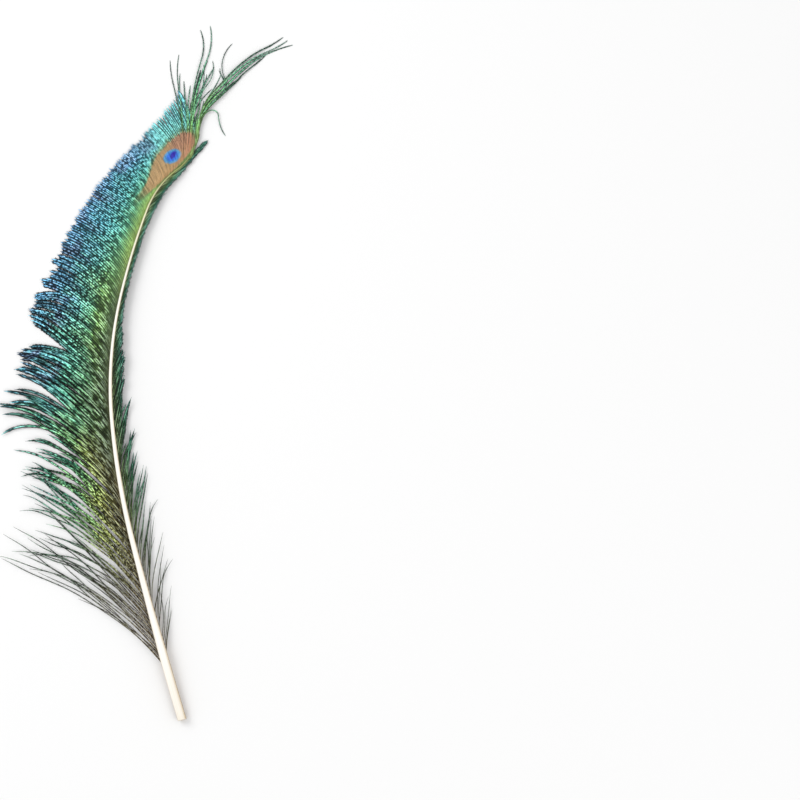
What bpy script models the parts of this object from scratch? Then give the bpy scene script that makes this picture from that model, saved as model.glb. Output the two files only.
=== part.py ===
"""Peacock sword feather lying on a table, upper side up, with its tip towards +Y.

The shaft rises from the cut quill, bows over the table and bends to the right towards the tip. The broad
outer vane is on its left and the narrow inner vane on its right. Each vane is a sheet of locks that part
from one another near their tips, or close to the shaft in the loose lower part. Long strands run on past
the tip. The feather grew as one piece, so all of it is one solid.
"""

import bmesh
import bpy
import numpy as np

# Cut end of the quill on the table, so that the feather's box is centred on the origin
QUILL_END = (0.0171, -0.1592)

# Shaft: its heading, in degrees to the left of +Y, and its radius, at shares of its length
SHAFT_LENGTH = 0.2833
HEADING_SHARES = (0.0, 0.30, 0.50, 0.70, 0.85, 0.93, 1.0)
HEADINGS = (16.1, 14.2, 5.1, -12.6, -20.5, -52.5, -10.8)
RADIUS_SHARES = (0.0, 0.12, 0.20, 0.30, 0.50, 0.70, 0.85, 1.0)
RADII = (0.00222, 0.00218, 0.0017, 0.00135, 0.00092, 0.0006, 0.00045, 0.0003)
BOW_HEIGHT = 0.0052
TIP_HEIGHT = 0.0009
SHAFT_POINTS = 34
SHAFT_BEVEL = 3

# Outer vane, from its lowest lock to the tip: share of the shaft, heading at the root, heading further out,
# the share of the length in which it turns, the turn at the tip, how uneven the locks are, the share at
# which they part, how much of the room between its neighbours a parted lock fills, how much of its width it
# keeps at its tip, and how much of the shaft's height above the table it falls. The margin gives the lock
# lengths at shares of the shaft, with the notches of the ragged edge. The spread gives the share of the
# shaft that each share of the locks has reached. The tufts give how many neighbouring locks gather, and how
# far their tips draw together; the rest stay even.
OUTER_VANE = {
    "share": (0.09, 0.20, 0.34, 0.46, 0.58, 0.70, 0.82, 0.93, 0.955),
    "root": (38.0, 27.0, 21.0, 16.0, 7.0, -4.0, -11.0, -29.0, -34.0),
    "outer": (60.0, 57.0, 56.0, 56.0, 54.0, 51.0, 56.0, 45.0, 30.0),
    "settle": (0.40, 0.35, 0.28, 0.24, 0.20, 0.16, 0.17, 0.32, 0.45),
    "curl": (4.0, 18.0, 40.0, 26.0, 30.0, 22.0, 6.0, 0.0, -6.0),
    "uneven": (0.28, 0.24, 0.17, 0.12, 0.08, 0.04, 0.03, 0.03, 0.04),
    "part": (0.08, 0.12, 0.26, 0.46, 0.62, 1.0, 1.0, 1.0, 1.0),
    "fill": (0.40, 0.52, 0.76, 0.92, 0.97, 1.0, 1.0, 1.0, 1.0),
    "tip": (0.12, 0.14, 0.32, 0.72, 0.92, 1.0, 1.0, 1.0, 1.0),
    "fall": (1.0, 1.0, 1.0, 1.0, 1.0, 1.0, 1.0, 1.0, 1.0),
}
OUTER_MARGIN = (
    (0.09, 0.15, 0.21, 0.27, 0.30, 0.33, 0.36, 0.40, 0.43, 0.47, 0.50, 0.52, 0.54, 0.57, 0.66, 0.75, 0.84,
     0.90, 0.93, 0.955),
    (0.100, 0.088, 0.090, 0.080, 0.068, 0.060, 0.078, 0.072, 0.066, 0.0645, 0.0605, 0.052, 0.0555, 0.0525,
     0.043, 0.036, 0.028, 0.0240, 0.0265, 0.0330),
)
OUTER_LOCKS = 50
OUTER_SPREAD = ((0.0, 0.24, 0.80, 1.0), (0.09, 0.34, 0.82, 0.955))
OUTER_TUFTS = ((1, 0.0), (2, 0.4), (2, 0.4), (2, 0.4), (1, 0.0), (2, 0.5), (3, 0.4), (2, 0.4), (2, 0.5),
               (6, 0.4), (5, 0.45))

# Inner vane, in the same terms; its locks lean to the right
INNER_VANE = {
    "share": (0.10, 0.20, 0.35, 0.50, 0.58, 0.80, 0.86, 0.90, 0.93),
    "root": (3.5, 4.0, 2.0, -5.0, -13.0, -31.0, -46.0, -62.0, -56.0),
    "outer": (-8.5, -8.0, -9.0, -14.0, -21.0, -38.0, -52.0, -57.0, -42.0),
    "settle": (0.40, 0.40, 0.40, 0.40, 0.40, 0.40, 0.40, 0.40, 0.40),
    "curl": (-9.0, -9.0, -7.0, -5.0, -4.0, 0.0, 0.0, 2.0, 2.0),
    "uneven": (0.30, 0.30, 0.28, 0.22, 0.15, 0.05, 0.05, 0.05, 0.05),
    "part": (0.10, 0.12, 0.22, 1.0, 1.0, 1.0, 1.0, 1.0, 1.0),
    "fill": (0.40, 0.46, 0.60, 0.80, 1.0, 1.0, 1.0, 1.0, 1.0),
    "tip": (0.12, 0.12, 0.20, 0.40, 1.0, 1.0, 1.0, 1.0, 1.0),
    "fall": (1.0, 1.0, 1.0, 0.6, 0.4, 0.25, 0.30, 0.45, 0.9),
}
INNER_MARGIN = ((0.10, 0.20, 0.35, 0.50, 0.65, 0.80, 0.86, 0.90, 0.93),
                (0.040, 0.046, 0.042, 0.027, 0.0095, 0.0085, 0.010, 0.013, 0.020))
INNER_LOCKS = 22
INNER_SPREAD = ((0.0, 0.4, 1.0), (0.10, 0.50, 0.93))
INNER_TUFTS = ()

# Surface of the locks: rows across them as shares of their length, the share past which they lie on the
# table, the least share that a lock parts over, the least room it is given on each side, the power by which
# it narrows and gathers past its part, its thickness along the ridge and at the edges, the room beside the
# first lock and the last, how far the roots reach past the middle of the shaft, and how many degrees the
# locks sway
LOCK_ROWS = np.array((0.0, 0.08, 0.20, 0.34, 0.50, 0.66, 0.80, 0.90, 1.0))
ROW_BODY = np.array((0.45, 0.7, 1.0, 1.0, 1.0, 1.0, 1.0, 0.9, 0.6))
TABLE_SHARE = 0.78
LANDING_POWER = 1.4
LEAST_PARTED = 0.01
LEAST_ROOM = 0.0006
NARROWING_POWER = 1.5
LOCK_RIDGE = 0.0008
LOCK_EDGE = 0.0004
END_ROOM = 0.0008
ROOT_OVERLAP = 0.00012
WALK_STEPS = 50
UNEVEN_SEED = 5
SWAY = 8.0

# Loose strands at the tip: share of the shaft, length, and headings at even steps along the strand
TIP_STRANDS = (
    (0.940, 0.052, (-6.0, 0.0, 6.0, 6.0, -10.0)),
    (0.948, 0.038, (-10.0, -4.0, 2.0, 5.0, 2.0)),
    (0.953, 0.047, (-6.0, -4.0, -14.0, -36.0, 20.0)),
    (0.958, 0.062, (-4.0, -4.0, -14.0, -22.0, 12.0)),
    (0.966, 0.042, (-12.0, -8.0, -12.0, -14.0, 0.0)),
    (0.980, 0.054, (-6.0, -8.0, -44.0, -52.0, 28.0, -12.0, -48.0)),
    (0.987, 0.067, (-4.0, -16.0, -46.0, -44.0, -52.0, -68.0, -76.0)),
    (0.990, 0.030, (-4.0, -10.0, -24.0, -70.0, -176.0, -162.0, -140.0)),
    (0.993, 0.065, (0.0, -14.0, -44.0, -44.0, -54.0, -68.0, -54.0)),
    (0.998, 0.050, (0.0, -22.0, -46.0, -46.0, -44.0, -54.0, -46.0)),
)
STRAND_RADIUS = 0.00055
STRAND_TIP_RADIUS = 0.00022
STRAND_STEP = 0.0001
STRAND_POINTS = 11
STRAND_BEVEL = 1
CAP_MERGE = 0.00001

VANE_GREEN = (0.045, 0.13, 0.075, 1.0)
VANE_ROUGHNESS = 0.55


def walk(headings, length, start):
    """Line walked from the start in equal steps along the headings, in degrees to the left of +Y."""
    turn = np.radians(headings)
    middle = (turn[..., 1:] + turn[..., :-1]) / 2
    step = length / (turn.shape[-1] - 1)
    nought = np.zeros(turn.shape[:-1] + (1,))
    x = np.concatenate([nought, np.cumsum(-np.sin(middle) * step, axis=-1)], axis=-1) + start[0]
    y = np.concatenate([nought, np.cumsum(np.cos(middle) * step, axis=-1)], axis=-1) + start[1]
    return x, y


FINE_SHARES = np.linspace(0.0, 1.0, 801)
SHAFT_X, SHAFT_Y = walk(np.interp(FINE_SHARES, HEADING_SHARES, HEADINGS), SHAFT_LENGTH, QUILL_END)


def shaft_point(share):
    """Place on the shaft's axis: a straight fall from the quill to the tip, plus half a sine wave of bow."""
    fall = RADII[0] + (TIP_HEIGHT - RADII[0]) * share
    x = np.interp(share, FINE_SHARES, SHAFT_X)
    y = np.interp(share, FINE_SHARES, SHAFT_Y)
    return x, y, fall + BOW_HEIGHT * np.sin(np.pi * share)


def keep(name, mesh, collection):
    """New object of the mesh, in the collection."""
    obj = bpy.data.objects.new(name, mesh)
    collection.objects.link(obj)
    return obj


def tapered_bar(name, points, radii, bevel, collection):
    """Round bar along the points: a bevelled curve made a mesh, with its caps welded on."""
    curve = bpy.data.curves.new(name, "CURVE")
    curve.dimensions = "3D"
    curve.bevel_depth = 1.0
    curve.bevel_resolution = bevel
    curve.use_fill_caps = True
    spline = curve.splines.new("POLY")
    spline.points.add(len(points) - 1)
    for spot, place, radius in zip(spline.points, points, radii):
        spot.co = (*place, 1.0)
        spot.radius = radius
    bar = keep(name, curve, collection)
    bpy.context.view_layer.update()
    mesh = bpy.data.meshes.new_from_object(bar.evaluated_get(bpy.context.evaluated_depsgraph_get()))
    bpy.data.objects.remove(bar)
    bpy.data.curves.remove(curve)
    welded = bmesh.new()
    welded.from_mesh(mesh)
    bmesh.ops.remove_doubles(welded, verts=welded.verts, dist=CAP_MERGE)
    welded.to_mesh(mesh)
    welded.free()
    return keep(name, mesh, collection)


def make_shaft(collection):
    share = np.linspace(0.0, 1.0, SHAFT_POINTS)
    points = np.stack(shaft_point(share), axis=-1)
    radii = np.interp(share, RADIUS_SHARES, RADII)
    return tapered_bar("feather", points, radii, SHAFT_BEVEL, collection)


def make_strand(number, collection):
    """One loose strand: it follows its headings and sinks from the shaft to the table."""
    share, length, headings = TIP_STRANDS[number]
    along = np.linspace(0.0, 1.0, STRAND_POINTS)
    root_x, root_y, root_z = shaft_point(share)
    turning = np.interp(along, np.linspace(0.0, 1.0, len(headings)), headings)
    x, y = walk(turning, length, (root_x, root_y))
    radii = STRAND_RADIUS + (STRAND_TIP_RADIUS - STRAND_RADIUS) * along
    z = radii + (root_z - STRAND_RADIUS + number * STRAND_STEP) * (1 - along) ** 2
    return tapered_bar(f"strand_{number}", np.stack((x, y, z), axis=-1), radii, STRAND_BEVEL, collection)


def lock_lines(vane, margin, count, spread, side, chance):
    """Middle lines of a vane's locks as an array of locks by rows by x, y, z, and the locks' own values.

    A lock's heading leaves the shaft at the root heading, settles on the outer heading as one minus an
    exponential, and curls by the square of the way along its second half. What is left of its fall from
    the shaft goes as a power of the way that is left to the share at which it lies on the table.
    """
    share = np.interp(np.linspace(0.0, 1.0, count), *spread)
    value = {key: np.interp(share, vane["share"], vane[key])[:, None] for key in vane}
    uneven = chance.uniform(-1.0, 1.0, (3, count, 1)) * value["uneven"]
    length = np.interp(share, *margin)[:, None] * (1 - value["uneven"] / 2 + uneven[0] / 2)
    along = np.linspace(0.0, 1.0, WALK_STEPS + 1)
    settled = (1 - np.exp(-along / value["settle"])) / (1 - np.exp(-1 / value["settle"]))
    heading = value["root"] + (value["outer"] - value["root"]) * settled
    curled = np.clip(2 * along - 1, 0.0, 1.0) ** 2
    heading = heading + value["curl"] * (1 + uneven[1]) * curled + SWAY * uneven[2] * along
    root_x, root_y, root_z = shaft_point(value["share"])
    x, y = walk(heading, length, (root_x + side * ROOT_OVERLAP, root_y))
    rows = np.round(LOCK_ROWS * WALK_STEPS).astype(int)
    fallen = 1 - np.clip(1 - LOCK_ROWS / TABLE_SHARE, 0.0, 1.0) ** LANDING_POWER
    z = (root_z - LOCK_EDGE / 2) * (1 - value["fall"] * fallen)
    return np.stack((x[:, rows], y[:, rows], z), axis=-1), value


def gather(middle, narrowed, tufts):
    """Middle lines drawn towards the mean line of their tuft, and the share of the room this leaves them."""
    drawn = middle.copy()
    room = np.ones(narrowed.shape)
    first = 0
    for locks, pull in tufts:
        tuft = slice(first, first + locks)
        pulled = pull * narrowed[tuft]
        drawn[tuft] += (middle[tuft].mean(axis=0) - middle[tuft]) * pulled[..., None]
        room[tuft] -= pulled
        first += locks
    return drawn, room


def squared(out, outward, share):
    """Offsets from a lock's middle line to one beside it, turned that share of the way square to the lock."""
    reach = np.maximum((out * outward).sum(axis=-1, keepdims=True), LEAST_ROOM)
    return out + (outward * reach - out) * share[:, None]


def make_vane(name, vane, margin, count, spread, tufts, side, chance, collection):
    """Vane as one open sheet, two cells wide on each lock, solidified upwards with a ridge on each lock.

    The line between two locks is half way between their middles, and shared up to the row at which they
    part. Past it each lock has an edge of its own, which turns square to the lock and draws in towards its
    middle line as the locks narrow and gather in tufts. The vane's first and last edges run beside its
    first and last locks.
    """
    middle, value = lock_lines(vane, margin, count, spread, side, chance)
    chord = middle[[0, -1], -1] - middle[[0, -1], 0]
    room = END_ROOM / np.hypot(chord[:, 0], chord[:, 1])[:, None]
    above = side * np.stack((chord[:, 1], -chord[:, 0], 0 * chord[:, 0]), axis=-1) * room
    between = (middle[1:] + middle[:-1]) / 2
    line = np.concatenate([middle[:1] - above[0], between, middle[-1:] + above[1]])
    part_row = np.searchsorted(LOCK_ROWS, value["part"][:, 0], side="right") - 1
    line_part = np.concatenate([[0], np.minimum(part_row[1:], part_row[:-1]), [0]])
    past = (LOCK_ROWS - value["part"]) / np.maximum(1 - value["part"], LEAST_PARTED)
    narrowed = np.clip(past, 0.0, 1.0) ** NARROWING_POWER
    drawn, room = gather(middle, narrowed, tufts)
    width = value["fill"] * (1 - (1 - value["tip"]) * narrowed) * room
    ahead = np.gradient(middle, axis=1)
    lefts = np.stack((-ahead[..., 1], ahead[..., 0], 0 * ahead[..., 0]), axis=-1)
    lefts /= np.linalg.norm(lefts, axis=-1, keepdims=True)

    places, weights, faces = [], [], []

    def add(place, row, body):
        places.append(place)
        weights.append(ROW_BODY[row] * body)
        return len(places) - 1

    rows = range(len(LOCK_ROWS))
    shared = [[add(line[j, r], r, LOCK_EDGE / LOCK_RIDGE) if r <= line_part[j] else None for r in rows]
              for j in range(count + 1)]
    for i in range(count):
        centre = [add(drawn[i, r], r, 1.0) for r in rows]
        edges = []
        for j, hand in ((i, side), (i + 1, -side)):
            out = squared(line[j] - middle[i], hand * lefts[i], narrowed[i])
            edge = drawn[i] + out * width[i][:, None]
            edges.append([shared[j][r] if r <= line_part[j] else add(edge[r], r, LOCK_EDGE / LOCK_RIDGE)
                          for r in rows])
        for r in rows[:-1]:
            for a, b in ((edges[0], centre), (centre, edges[1])):
                faces.append((a[r], b[r], b[r + 1], a[r + 1])[::side])
    mesh = bpy.data.meshes.new(name)
    mesh.from_pydata([tuple(place) for place in places], [], faces)
    sheet = keep(name, mesh, collection)
    body = sheet.vertex_groups.new(name="body")
    for number, weight in enumerate(weights):
        body.add([number], weight, "REPLACE")
    solid = sheet.modifiers.new("thickness", "SOLIDIFY")
    solid.thickness = LOCK_RIDGE
    solid.offset = 1.0
    solid.vertex_group = body.name
    return sheet


def join(target, collection):
    """Union of the target with everything in the collection."""
    union = target.modifiers.new("grown together", "BOOLEAN")
    union.operation = "UNION"
    union.solver = "EXACT"
    union.operand_type = "COLLECTION"
    union.collection = collection


def vane_material():
    material = bpy.data.materials.new("iridescent green vane")
    material.use_nodes = True
    shader = material.node_tree.nodes["Principled BSDF"]
    shader.inputs["Base Color"].default_value = VANE_GREEN
    shader.inputs["Roughness"].default_value = VANE_ROUGHNESS
    return material


def main():
    for obj in list(bpy.data.objects):
        bpy.data.objects.remove(obj, do_unlink=True)
    feather_parts = bpy.data.collections.new("peacock feather")
    growth = bpy.data.collections.new("growth joined to the shaft")
    for collection in (feather_parts, growth):
        bpy.context.scene.collection.children.link(collection)

    chance = np.random.default_rng(UNEVEN_SEED)
    feather = make_shaft(feather_parts)
    outer = (OUTER_VANE, OUTER_MARGIN, OUTER_LOCKS, OUTER_SPREAD, OUTER_TUFTS)
    inner = (INNER_VANE, INNER_MARGIN, INNER_LOCKS, INNER_SPREAD, INNER_TUFTS)
    make_vane("outer_vane", *outer, 1, chance, growth)
    make_vane("inner_vane", *inner, -1, chance, growth)
    for number in range(len(TIP_STRANDS)):
        make_strand(number, growth)
    for helper in growth.objects:
        helper.hide_render = True
        helper.display_type = "WIRE"
    join(feather, growth)
    feather.data.materials.append(vane_material())


main()
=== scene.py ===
import bpy
import numpy as np
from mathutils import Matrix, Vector


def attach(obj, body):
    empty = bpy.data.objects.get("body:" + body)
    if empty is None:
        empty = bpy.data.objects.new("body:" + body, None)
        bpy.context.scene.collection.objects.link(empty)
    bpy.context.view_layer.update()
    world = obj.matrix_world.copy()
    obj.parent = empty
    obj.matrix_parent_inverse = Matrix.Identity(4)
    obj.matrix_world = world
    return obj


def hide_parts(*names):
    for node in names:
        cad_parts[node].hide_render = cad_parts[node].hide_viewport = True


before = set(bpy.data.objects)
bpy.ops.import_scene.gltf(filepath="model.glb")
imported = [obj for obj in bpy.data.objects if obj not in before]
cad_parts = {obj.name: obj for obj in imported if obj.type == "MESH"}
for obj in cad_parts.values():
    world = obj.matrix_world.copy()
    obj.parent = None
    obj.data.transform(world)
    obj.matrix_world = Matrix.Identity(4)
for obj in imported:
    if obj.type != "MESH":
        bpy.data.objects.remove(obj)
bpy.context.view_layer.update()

# Shaft -------------------------------------------------------------------------------------------
# The rod that carries both vanes: pale horn, hollow at the cut end and filled with pith further up.
# It grew in one with the vanes, bows up off the table and bends to the right as it thins.

QUILL_END = (0.0171, -0.1592)
SHAFT_LENGTH = 0.2833
HEADING_SHARES = (0.0, 0.30, 0.50, 0.70, 0.85, 0.93, 1.0)
HEADINGS = (16.1, 14.2, 5.1, -12.6, -20.5, -52.5, -10.8)
RADIUS_SHARES = (0.0, 0.12, 0.20, 0.30, 0.50, 0.70, 0.85, 1.0)
RADII = (0.00222, 0.00218, 0.0017, 0.00135, 0.00092, 0.0006, 0.00045, 0.0003)
BOW_HEIGHT = 0.0052
TIP_HEIGHT = 0.0009

BORE_DEPTH = 0.016
BORE_SHARE = 0.74
BORE_RINGS = 12
CUT_SLANT = 0.18
CUT_RUN = 3.0
GROOVE_DEPTH = 0.28
GROOVE_WIDTH = 0.34
GROOVE_FROM = 0.08
GROOVE_GROWTH = 0.10
SIDE_FLATTENING = 0.10
SHAFT_RINGS = 420
SHAFT_SIDES = 28
ROW_MAP = (0.005, 0.995)
SIDE_MAP = (0.01, 0.99)

HORN_ALONG = ((0.0, 0.86, 0.78, 0.64), (0.05, 0.95, 0.91, 0.84), (0.16, 1.0, 0.99, 0.96),
              (0.72, 0.98, 0.97, 0.92), (0.84, 0.80, 0.79, 0.56), (0.92, 0.34, 0.38, 0.13),
              (1.0, 0.12, 0.22, 0.07))
# Colour round the shaft: darker at the sides and underneath, partly the horn's own brown edges and partly
# painted shade for roundness.
HORN_SHADE_AROUND = ((0.0, 0.22, 0.14, 0.07), (0.05, 0.58, 0.44, 0.28), (0.10, 0.84, 0.75, 0.60),
               (0.17, 1.0, 0.98, 0.95), (0.38, 1.0, 0.99, 0.97), (0.45, 0.70, 0.56, 0.38),
               (0.50, 0.24, 0.16, 0.08), (0.75, 0.60, 0.48, 0.34), (1.0, 0.22, 0.14, 0.07))
HORN_STREAK = (0.95, 0.92, 0.86)
HORN_ROUGHNESS = 0.36
GRAIN_SCALE = (26.0, 9.0, 1.0)
GRAIN_BAND = (0.42, 0.72)
GRAIN_STRENGTH = 0.25
GRAIN_HEIGHT = 0.0002


def walk(headings, length, start):
    """Line walked from the start in equal steps along the headings, in degrees to the left of +Y."""
    turn = np.radians(headings)
    middle = (turn[..., 1:] + turn[..., :-1]) / 2
    step = length / (turn.shape[-1] - 1)
    nought = np.zeros(turn.shape[:-1] + (1,))
    x = np.concatenate([nought, np.cumsum(-np.sin(middle) * step, axis=-1)], axis=-1) + start[0]
    y = np.concatenate([nought, np.cumsum(np.cos(middle) * step, axis=-1)], axis=-1) + start[1]
    return x, y


FINE_SHARES = np.linspace(0.0, 1.0, 801)
SHAFT_X, SHAFT_Y = walk(np.interp(FINE_SHARES, HEADING_SHARES, HEADINGS), SHAFT_LENGTH, QUILL_END)


def shaft_point(share):
    """Place on the axis: a straight fall from the quill to the tip, plus half a sine wave of bow."""
    fall = RADII[0] + (TIP_HEIGHT - RADII[0]) * share
    x = np.interp(share, FINE_SHARES, SHAFT_X)
    y = np.interp(share, FINE_SHARES, SHAFT_Y)
    return x, y, fall + BOW_HEIGHT * np.sin(np.pi * share)


def directions(path):
    """Unit tangent of each path, and the unit vector to its left in plan, by differences of its points."""
    tangent = np.gradient(path, axis=-2)
    tangent = tangent / np.linalg.norm(tangent, axis=-1, keepdims=True)
    left = np.stack([-tangent[..., 1], tangent[..., 0], np.zeros(tangent.shape[:-1])], axis=-1)
    return tangent, left / np.linalg.norm(left, axis=-1, keepdims=True)


def new_piece(name, places, faces, maps, material):
    """Mesh of the places and the lists of faces, with a map of each face corner, as a piece of the object."""
    mesh = bpy.data.meshes.new(name)
    mesh.from_pydata(places.tolist(), [], [face for group in faces for face in group.tolist()])
    flat_map = np.concatenate([group.reshape(-1, 2) for group in maps]).astype(np.float32)
    mesh.uv_layers.new(name="OFBake").data.foreach_set("uv", flat_map.ravel())
    mesh.materials.append(material)
    piece = bpy.data.objects.new(name, mesh)
    bpy.context.scene.collection.objects.link(piece)
    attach(piece, "root")
    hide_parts("feather")
    return piece


def shaft_surface():
    """Profile carried along the axis: out from the bottom of the bore to the cut, and up the wall to the tip.

    The profile is a circle drawn in at its two sides by the cosine's fourth power, with a groove along
    its underside shaped as a bell curve. The cut is slanted by the sine of the angle round the shaft.
    """
    bore = np.linspace(BORE_DEPTH / SHAFT_LENGTH, 0.0, BORE_RINGS)
    wall = np.linspace(0.0, 1.0, SHAFT_RINGS)
    share = np.concatenate([bore[:1], bore, wall, wall[-1:]])
    scale = np.concatenate([[0.0], np.full(len(bore), BORE_SHARE), np.ones(SHAFT_RINGS), [0.0]])
    outside = np.concatenate([np.zeros(len(bore) + 1), np.ones(SHAFT_RINGS + 1)])
    angle = np.linspace(0.0, 2 * np.pi, SHAFT_SIDES + 1)
    below = np.abs((angle - 1.5 * np.pi + np.pi) % (2 * np.pi) - np.pi)
    grown = np.clip((share - GROOVE_FROM) / GROOVE_GROWTH, 0.0, 1.0) * outside
    groove = GROOVE_DEPTH * np.exp(-(below / GROOVE_WIDTH) ** 2) * grown[:, None]
    profile = (1 - SIDE_FLATTENING * np.cos(angle) ** 4 * outside[:, None] - groove) * scale[:, None]
    radius = np.interp(share, RADIUS_SHARES, RADII)[:, None] * profile
    axis = np.stack(shaft_point(share), axis=-1)
    tangents, lefts = directions(np.stack(shaft_point(FINE_SHARES), axis=-1))
    number = np.round(share * (len(FINE_SHARES) - 1)).astype(int)
    tangent, left = tangents[number], lefts[number]
    up = np.cross(tangent, left)
    near_cut = np.clip(1 - share * SHAFT_LENGTH / (CUT_RUN * RADII[0]), 0.0, 1.0)[:, None]
    slide = CUT_SLANT * RADII[0] * (1 + np.sin(angle)) * near_cut
    return (axis[:, None] - left[:, None] * (radius * np.cos(angle))[..., None]
            + up[:, None] * (radius * np.sin(angle))[..., None] + tangent[:, None] * slide[..., None])


def node(tree, kind, **values):
    """New shader node, with its properties set by name, and its inputs set or linked."""
    made = tree.nodes.new(f"ShaderNode{kind}")
    for key, value in values.items():
        name = key.replace("_", " ").title()
        if name not in made.inputs:
            setattr(made, key, value)
        elif isinstance(value, bpy.types.NodeSocket):
            tree.links.new(value, made.inputs[name])
        else:
            made.inputs[name].default_value = value
    return made


def ramp(tree, stops, factor):
    """Colour ramp of (place, red, green, blue) stops, read by the factor."""
    made = node(tree, "ValToRGB", fac=factor)
    band = made.color_ramp
    for number, (spot, *colour) in enumerate(stops):
        stop = band.elements[number] if number < 2 else band.elements.new(spot)
        stop.position = spot
        stop.color = (*colour, 1.0)
    return made.outputs["Color"]


def mixed(tree, factor, a, b, blend="MIX"):
    """Two colours mixed by a factor, each a socket or a value."""
    made = node(tree, "Mix", data_type="RGBA", blend_type=blend)
    for name, value in (("Factor_Float", factor), ("A_Color", a), ("B_Color", b)):
        socket = next(s for s in made.inputs if s.identifier == name)
        if isinstance(value, bpy.types.NodeSocket):
            tree.links.new(value, socket)
        else:
            socket.default_value = value if name == "Factor_Float" else (*value, 1.0)
    return next(s for s in made.outputs if s.identifier == "Result_Color")


def ranged(tree, value, low, high, to_low=0.0, to_high=1.0):
    """Value mapped smoothly from one range to another."""
    return node(tree, "MapRange", interpolation_type="SMOOTHSTEP", value=value, from_min=low, from_max=high,
                to_min=to_low, to_max=to_high).outputs["Result"]


def new_material(name, roughness, metallic=0.0, specular=0.4):
    """New material with its node tree and its shader, from its roughness, metal share and gloss."""
    material = bpy.data.materials.new(name)
    material.use_nodes = True
    shader = material.node_tree.nodes["Principled BSDF"]
    shader.inputs["Roughness"].default_value = roughness
    shader.inputs["Metallic"].default_value = metallic
    shader.inputs["Specular IOR Level"].default_value = specular
    return material, material.node_tree, shader


def horn():
    """Pale horn: cream along the top, brown at the sides and underneath, partly its own brown edges and
    partly painted shade for roundness, streaked lengthwise, and olive near the tip.
    """
    material, tree, shader = new_material("pale horn", HORN_ROUGHNESS)
    where = node(tree, "UVMap", uv_map="OFBake").outputs["UV"]
    split = node(tree, "SeparateXYZ", vector=where)
    stretched = node(tree, "Mapping", scale=GRAIN_SCALE, vector=where).outputs["Vector"]
    streaks = node(tree, "TexNoise", scale=1.0, detail=4.0, roughness=0.6, vector=stretched).outputs["Fac"]
    colour = ramp(tree, HORN_ALONG, split.outputs["Y"])
    colour = mixed(tree, ranged(tree, streaks, *GRAIN_BAND), colour, HORN_STREAK, "MULTIPLY")
    # Painted shade round the sides and underneath, partly the horn's own brown edges.
    colour = mixed(tree, 1.0, colour, ramp(tree, HORN_SHADE_AROUND, split.outputs["X"]), "MULTIPLY")
    bump = node(tree, "Bump", strength=GRAIN_STRENGTH, distance=GRAIN_HEIGHT, height=streaks)
    tree.links.new(colour, shader.inputs["Base Color"])
    tree.links.new(bump.outputs["Normal"], shader.inputs["Normal"])
    return material


rings = shaft_surface()
row = np.arange(len(rings) - 1)[:, None]
side = np.arange(SHAFT_SIDES)
corners = ((side, row), (side, row + 1), (side + 1, row + 1), (side + 1, row))
faces = np.stack([r * SHAFT_SIDES + s % SHAFT_SIDES for s, r in corners], axis=-1)
row_map = np.linspace(*ROW_MAP, len(rings))
side_map = np.linspace(*SIDE_MAP, SHAFT_SIDES + 1)
maps = np.stack([np.stack(np.broadcast_arrays(side_map[s], row_map[r]), axis=-1) for s, r in corners],
                axis=-2)
shaft = new_piece("shaft", rings[:, :-1].reshape(-1, 3), [faces.reshape(-1, 4)], [maps], horn())
shaft.data.shade_smooth()

# Outer vane --------------------------------------------------------------------------------------
# Some 270 barbs on the shaft's left, each a thin horn rib with a fringe of flat barbules down both of
# its sides. Hooked together they make a dense sheet. Towards the margin, and all along the loose lower
# part, the barbs part into locks, and the locks gather in ragged tufts.

# Each column holds the values of the locks that stand at its share of the shaft's length.
OUTER_VANE = {
    "share": (0.09, 0.20, 0.34, 0.46, 0.58, 0.70, 0.82, 0.93, 0.955),
    "root": (38.0, 27.0, 21.0, 16.0, 7.0, -4.0, -11.0, -29.0, -34.0),
    "outer": (60.0, 57.0, 56.0, 56.0, 54.0, 51.0, 56.0, 45.0, 30.0),
    "settle": (0.40, 0.35, 0.28, 0.24, 0.20, 0.16, 0.17, 0.32, 0.45),
    "curl": (4.0, 18.0, 40.0, 26.0, 30.0, 22.0, 6.0, 0.0, -6.0),
    "uneven": (0.28, 0.24, 0.17, 0.12, 0.08, 0.04, 0.03, 0.03, 0.04),
    "part": (0.08, 0.12, 0.26, 0.46, 0.62, 1.0, 1.0, 1.0, 1.0),
    "fill": (0.80, 0.80, 0.90, 0.95, 0.98, 1.0, 1.0, 1.0, 1.0),
    "tip": (0.70, 0.55, 0.55, 0.76, 0.92, 1.0, 1.0, 1.0, 1.0),
    "fall": (1.0,) * 9,
    "barbs": (6.0, 6.0, 6.0, 5.0, 4.0, 4.0, 5.0, 8.0, 10.0),
    "loose": (1.0, 1.0, 0.8, 0.35, 0.12, 0.03, 0.02, 0.02, 0.06),
    "fringe": (0.00024, 0.00028, 0.00036, 0.00036, 0.00036, 0.00036, 0.00032, 0.00027, 0.00025),
    "web": (0.00012, 0.00022, 0.00060, 0.00080, 0.00085, 0.00085, 0.00066, 0.00050, 0.00045),
    "crest": (0.00045, 0.00045, 0.0005, 0.0006, 0.0006, 0.0006, 0.0006, 0.0006, 0.0006),
}
OUTER_MARGIN = (
    (0.09, 0.15, 0.21, 0.27, 0.30, 0.33, 0.36, 0.40, 0.43, 0.47, 0.50, 0.52, 0.54, 0.57, 0.66, 0.75, 0.84,
     0.90, 0.93, 0.955),
    (0.100, 0.088, 0.090, 0.080, 0.068, 0.060, 0.078, 0.072, 0.066, 0.0645, 0.0605, 0.052, 0.0555, 0.0525,
     0.043, 0.036, 0.028, 0.0240, 0.0265, 0.0330),
)
OUTER_LOCKS = 50
OUTER_SPREAD = ((0.0, 0.24, 0.80, 1.0), (0.09, 0.34, 0.82, 0.955))
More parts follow.
